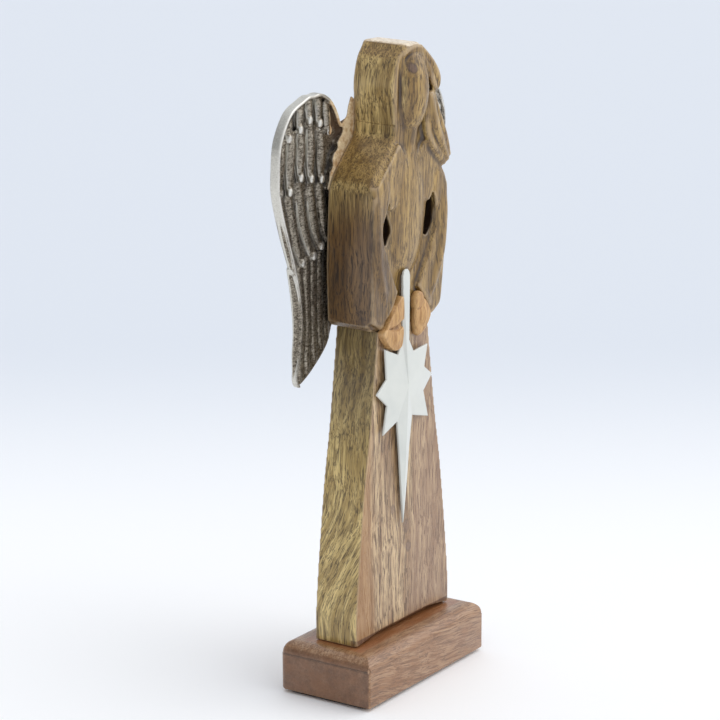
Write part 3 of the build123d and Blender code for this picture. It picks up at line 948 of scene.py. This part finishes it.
def body_wood(name, knots, robe=False):
    """Washed and rubbed hardwood with painted shade in its hollows: olive-yellow on the sawn sides, warm
    beige-brown in front.
    """
    material, tree, shader, place = new_material(name)
    side = side_mask(tree)
    broad = noise(tree, stretched(tree, place, (28, 28, 7)), detail=2)
    if robe:
        x, y, z = split_axes(tree, place)
        slide = ramp(tree, z, 0.050, 0.120, 0.0, 0.026)
        slanting = node(tree, "ShaderNodeCombineXYZ", {0: x, 1: maths(tree, "ADD", y, slide), 2: z}).outputs[0]
        front = use(tree, grain_group, {"Place": place, **robe_front})
        flank = use(tree, grain_group, {"Place": slanting, **robe_flank})
    else:
        front = use(tree, grain_group, {"Place": place, **upper_front})
        flank = use(tree, grain_group, {"Place": place, **upper_flank})
    wood = blend(tree, side, front["Color"], flank["Color"])
    wood = (robe_wood_colour if robe else upper_wood_colour)(tree, place, wood, side, broad)
    for middle, radius, strength in knots:
        knot = use(tree, knot_group, {"Place": place, "Middle": middle, "Radius": radius * mm})
        wood = blend(tree, times(tree, knot["Mask"], strength), wood, colour(92, 70, 66))
        wood = blend(tree, times(tree, knot["Ring"], strength * 0.8), wood, colour(58, 38, 26))
    # painted shade: the dark wash colour is laid deepest in the hollows
    worn = shade_and_wear_over(tree, place, wood, (52, 33, 18), (196, 170, 134), (0.92, 0.45))
    pores = maths(tree, "MAXIMUM", front["Pore mask"], flank["Pore mask"])
    feed(tree, shader, {
        "Base Color": worn["Color"], "Roughness": ramp(tree, pores, 0.0, 1.0, 0.34, 0.62),
        "Coat Weight": 0.4, "Coat Roughness": 0.24,
    })
    bump(tree, shader, front["Height"], 0.35, 0.25)
    return material


def plinth_wood():
    """Warm brown hardwood, its grain running along the plinth, darker on the end-grain sides."""
    material, tree, shader, place = new_material("plinth_wood")
    along = {"Vector": place, "Rotation": (0.0, radians(82), radians(14))}
    turned = node(tree, "ShaderNodeMapping", along).outputs[0]
    wood_tones = tones((172, 138, 106), (140, 99, 64), (82, 52, 32), bands=0.9, pores=0.5, width=1.1)
    grain = use(tree, grain_group, {"Place": turned, **wood_tones})
    speckle = ramp(tree, noise(tree, place, scale=90.0, detail=5, roughness=0.7), 0.35, 0.65)
    end = blend(tree, speckle, colour(124, 86, 60), colour(90, 58, 38))
    side = side_mask(tree)
    wood = blend(tree, times(tree, side, 0.72), grain["Color"], end)
    mottle = noise(tree, stretched(tree, place, (40, 40, 70)), detail=4, roughness=0.7)
    wood = blend(tree, ramp(tree, mottle, 0.42, 0.68, 0.0, 0.4), wood, colour(132, 86, 48))
    x, y, z = split_axes(tree, place)
    # a painted shade line in the fine step under the round-over, strongest on the sides
    wander = times(tree, noise(tree, place, scale=60.0), 0.0006)
    shoulder = (plinth_high.z - plinth_round) * mm + 0.0003
    off = maths(tree, "ABSOLUTE", maths(tree, "SUBTRACT", maths(tree, "ADD", z, wander), shoulder))
    line = times(tree, ramp(tree, off, 0.0009, 0.0002), ramp(tree, side, 0.0, 1.0, 0.12, 0.75))
    wood = blend(tree, line, wood, colour(58, 36, 22))
    # a painted reflection of the robe warms the flat top round its foot
    around_x = ramp(tree, maths(tree, "ABSOLUTE", x), 0.0585, 0.0560)
    around_y = ramp(tree, maths(tree, "ABSOLUTE", y), 0.0225, 0.0200)
    flat = times(tree, around_x, around_y, ramp(tree, z, 0.0330, 0.0334), 0.45)
    wood = blend(tree, flat, wood, colour(150, 84, 36))
    feed(tree, shader, {"Base Color": wood, "Roughness": 0.34, "Coat Weight": 0.3, "Coat Roughness": 0.15})
    bump(tree, shader, grain["Height"], 0.3, 0.22)
    return material


def hand_wood():
    """Smooth, unstained pale wood with faint grain, and painted shade in its creases and hollows."""
    material, tree, shader, place = new_material("hand_wood")
    wood_tones = tones((198, 158, 104), (176, 134, 84), (128, 82, 46), bands=0.7, pores=0.25, width=1.3)
    grain = use(tree, grain_group, {"Place": place, **wood_tones})
    # painted shade: dark brown laid in the hand's creases and hollows
    worn = shade_and_wear_over(tree, place, grain["Color"], (84, 48, 26), (236, 200, 156), (0.95, 0.35))
    feed(tree, shader, {"Base Color": worn["Color"], "Roughness": 0.5})
    bump(tree, shader, grain["Height"], 0.2, 0.15)
    return material


def white_enamel():
    """Thick glossy white enamel, very slightly uneven in colour and surface."""
    material, tree, shader, place = new_material("white_enamel")
    cloudy = ramp(tree, noise(tree, place, scale=45.0, detail=3), 0.35, 0.7)
    feed(tree, shader, {
        "Base Color": blend(tree, cloudy, colour(206, 208, 202), colour(197, 200, 195)),
        "Roughness": ramp(tree, noise(tree, place, scale=300.0), 0.3, 0.7, 0.12, 0.2),
        "Coat Weight": 0.6, "Coat Roughness": 0.06,
    })
    bump(tree, shader, noise(tree, place, scale=120.0, detail=2), 0.25, 0.35)
    return material


def wing_metal():
    """Sand-cast aluminium: polished outer wall, bright rubbed ridges, brown-black patina in the valleys."""
    material, tree, shader, place = new_material("wing_metal")
    sand = noise(tree, stretched(tree, place, (900, 900, 1500)), detail=4, roughness=0.75)
    chatter = noise(tree, stretched(tree, place, (420, 420, 800)), detail=3, roughness=0.7)
    rough = times(tree, maths(tree, "ADD", sand, chatter), 0.5)
    x, y, z = split_axes(tree, place)
    across = maths(tree, "ABSOLUTE", x)
    wall = ramp(tree, maths(tree, "ABSOLUTE", facing(tree, 1)), 0.62, 0.40)
    wall = times(tree, wall, ramp(tree, across, 0.046, 0.056))
    bright = blend(tree, ramp(tree, rough, 0.40, 0.60), colour(66, 57, 47), colour(166, 158, 144))
    worn = shade_and_wear_over(tree, place, bright, (30, 22, 17), (226, 224, 218), (0.97, 0.8))
    polished = blend(tree, ramp(tree, sand, 0.35, 0.7), colour(216, 214, 206), colour(190, 187, 178))
    metal = blend(tree, wall, worn["Color"], polished)
    # the flange at the root is given a pale tan as a painted reflection of the nearby wood, and the plate beside
    # it, near the body, is darker brown
    ragged = times(tree, noise(tree, place, scale=300.0, detail=3), 0.003)
    flange = times(
        tree,
        ramp(tree, maths(tree, "ADD", across, ragged), 0.0425, 0.0410),
        ramp(tree, ahead_of_board(tree, place), -0.0170, -0.0161),
        ramp(tree, z, 0.280, 0.290),
    )
    patchy = ramp(tree, noise(tree, place, scale=210.0, detail=4, roughness=0.7), 0.38, 0.66)
    # painted reflection: a non-metallic tan in place of the wood seen in the metal
    tan_wood_reflection = blend(tree, patchy, colour(224, 202, 164), colour(178, 140, 96))
    near_body_brown = times(tree, ramp(tree, across, 0.045, 0.030), ramp(tree, z, 0.335, 0.355))
    browned_near_body = blend(tree, times(tree, near_body_brown, 0.75), metal, colour(104, 76, 46))
    dull = maths(tree, "MAXIMUM", maths(tree, "MAXIMUM", worn["Shade and wash mask"], flange), times(tree, near_body_brown, 0.7))
    dull = times(tree, dull, inverse(tree, wall))
    feed(tree, shader, {
        "Base Color": blend(tree, flange, browned_near_body, tan_wood_reflection),
        "Metallic": ramp(tree, dull, 0.0, 1.0, 0.92, 0.08),
        "Roughness": ramp(tree, dull, 0.0, 1.0, 0.34, 0.75),
    })
    bump(tree, shader, times(tree, rough, ramp(tree, wall, 0.0, 1.0, 1.0, 0.15)), 0.6, 0.4)
    return material


def dowel_wood():
    """Plain beech."""
    material, tree, shader, place = new_material("dowel_wood")
    wood_tones = tones((222, 190, 148), (202, 164, 120), (150, 110, 74), bands=0.6, pores=0.4, width=1.6)
    grain = use(tree, grain_group, {"Place": place, **wood_tones})
    feed(tree, shader, {"Base Color": grain["Color"], "Roughness": 0.6})
    bump(tree, shader, grain["Height"], 0.2, 0.1)
    return material


def foam_rubber():
    """Black foam pad with a fine matt cell texture and a trace of dust."""
    material, tree, shader, place = new_material("foam_rubber")
    cells = noise(tree, place, scale=1800.0, detail=3, roughness=0.6)
    dust = ramp(tree, noise(tree, place, scale=120.0, detail=4), 0.5, 0.8, 0.0, 0.35)
    feed(tree, shader, {
        "Base Color": blend(tree, dust, colour(30, 29, 30), colour(74, 72, 70)),
        "Roughness": ramp(tree, cells, 0.3, 0.7, 0.75, 0.95),
    })
    bump(tree, shader, cells, 0.5, 0.2)
    return material


def plated_steel():
    """Zinc-plated screws with fine turning marks and faint tarnish."""
    material, tree, shader, place = new_material("plated_steel")
    marks = noise(tree, stretched(tree, place, (300, 300, 4200)), detail=2)
    tarnish = ramp(tree, noise(tree, place, scale=500.0, detail=4), 0.45, 0.75)
    feed(tree, shader, {
        "Base Color": blend(tree, tarnish, colour(196, 196, 192), colour(132, 128, 118)),
        "Roughness": ramp(tree, marks, 0.3, 0.7, 0.22, 0.42), "Metallic": 1.0,
    })
    bump(tree, shader, marks, 0.25, 0.05)
    return material


def pale_floor():
    """A plain pale floor, with painted shade making it slightly cooler and dimmer toward the back of the room."""
    material, tree, shader, place = new_material("pale_floor")
    # painted shade: the floor's colour darkens toward the back
    back = vector_maths(tree, "DOT_PRODUCT", place, (0.83, 0.55, 0.0))
    feed(tree, shader, {
        "Base Color": blend(tree, ramp(tree, back, 0.1, 0.95), colour(253, 253, 254), colour(220, 225, 233)),
        "Roughness": 0.6, "Specular IOR Level": 0.2,
    })
    return material


def wear(piece, material):
    piece.data.materials.clear()
    piece.data.materials.append(material)


# ---- the pieces, and what each stands for --------------------------------------------------------
def finish_piece(piece, node_name, material):
    wear(piece, material)
    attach(piece, "root")
    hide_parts(node_name)


face_knot = (leaned(-6.6, 20.8, 386.5), 2.2, 0.65)
body_material = body_wood("body_wood", [face_knot])
robe_knots = [
    (Vector((3.0, -board_half, 98.0)) * mm, 3.2, 0.35),
    (Vector((5.5, -board_half, 84.0)) * mm, 2.6, 0.45),
    (Vector((-12.0, -board_half, 112.0)) * mm, 2.2, 0.35),
]
robe_material = body_wood("robe_wood", robe_knots, robe=True)

finish_piece(make_plinth(), "base_block", plinth_wood())

robe = make_robe()
mark_hollows(robe, depth=0.8, rounds=10)
finish_piece(robe, "robe_block", robe_material)

torso = make_upper_body()
mark_joint(torso)
mark_hollows(torso, depth=0.9, rounds=26)
torso.name = "torso"
head = copy_of(torso, "head")
cut_off(torso, neck, keep_above=False)
cut_off(head, neck, keep_above=True)
cut_off(torso, hem, keep_above=True)
for piece, node_name in ((torso, "torso_block"), (head, "head_block")):
    lean(piece)
    finish_piece(piece, node_name, body_material)

hand_material = hand_wood()
for hand, node_name in ((make_right_hand(), "right_hand"), (make_left_hand(), "left_hand")):
    mark_hollows(hand, depth=0.7, rounds=16)
    lean(hand)
    finish_piece(hand, node_name, hand_material)

star = make_star()
star.name = "star_enamelled"
finish_piece(star, "star", white_enamel())

wing_material = wing_metal()
for wing, node_name in zip(make_wings(), ("left_wing", "right_wing")):
    lean(wing)
    finish_piece(wing, node_name, wing_material)

kept_nodes = {
    "base_pad": foam_rubber(),
    "base_screws": plated_steel(),
    "waist_dowels": dowel_wood(),
}
kept_nodes["neck_dowel"] = kept_nodes["hand_pins"] = kept_nodes["waist_dowels"]
kept_nodes["star_pins"] = kept_nodes["wing_screws"] = kept_nodes["base_screws"]
for node_name, material in kept_nodes.items():
    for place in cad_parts[node_name].material_slots:
        place.material = material


# ---- floor, light and camera ---------------------------------------------------------------------
def make_floor():
    deselect()
    bpy.ops.mesh.primitive_plane_add(size=160, location=(0, 0, 0))
    floor = bpy.context.object
    floor.name = "floor"
    wear(floor, pale_floor())


def sunlight(name, toward, spread, strength, tint):
    """A wide, far soft light from a direction, `spread` degrees across."""
    light = bpy.data.lights.new(name, "SUN")
    light.angle = radians(spread)
    light.energy = strength
    light.color = tint
    lamp = bpy.data.objects.new(name, light)
    lamp.rotation_euler = Vector(toward).to_track_quat("Z", "Y").to_euler()
    bpy.context.collection.objects.link(lamp)


def make_light():
    world = bpy.data.worlds.new("soft_room")
    world.use_nodes = True
    tree = world.node_tree
    direction = node(tree, "ShaderNodeTexCoord").outputs["Generated"]
    toward_key = vector_maths(tree, "DOT_PRODUCT", direction, (0.72, -0.40, 0.56))
    feed(tree, tree.nodes["Background"], {
        "Color": (0.925, 0.955, 1.0, 1.0), "Strength": ramp(tree, toward_key, -0.55, 0.45, 0.36, 0.92),
    })
    bpy.context.scene.world = world
    sunlight("key", (0.46, -0.66, 0.66), 70, 1.25, (1.0, 0.985, 0.96))
    sunlight("fill", (-0.8, -0.25, 0.5), 80, 0.3, (0.97, 0.98, 1.0))


def make_camera():
    azimuth = radians(-56.49)
    heading = radians(0.54)
    pitch = radians(13.54)
    roll = radians(-0.31)
    distance = 1.4697
    camera = bpy.data.cameras.new("camera")
    camera.sensor_width = 36.0
    camera.lens = 122.5
    camera.clip_start = 0.01
    viewer = bpy.data.objects.new("camera", camera)
    place = Vector((distance * sin(azimuth), -distance * cos(azimuth), 0.5569))
    aim = (
        Matrix.Rotation(azimuth + heading, 4, "Z")
        @ Matrix.Rotation(pi / 2 - pitch, 4, "X")
        @ Matrix.Rotation(roll, 4, "Z")
    )
    viewer.matrix_world = Matrix.Translation(place) @ aim
    bpy.context.collection.objects.link(viewer)
    bpy.context.scene.camera = viewer


make_floor()
make_light()
make_camera()
bpy.context.scene.view_settings.view_transform = "Standard"
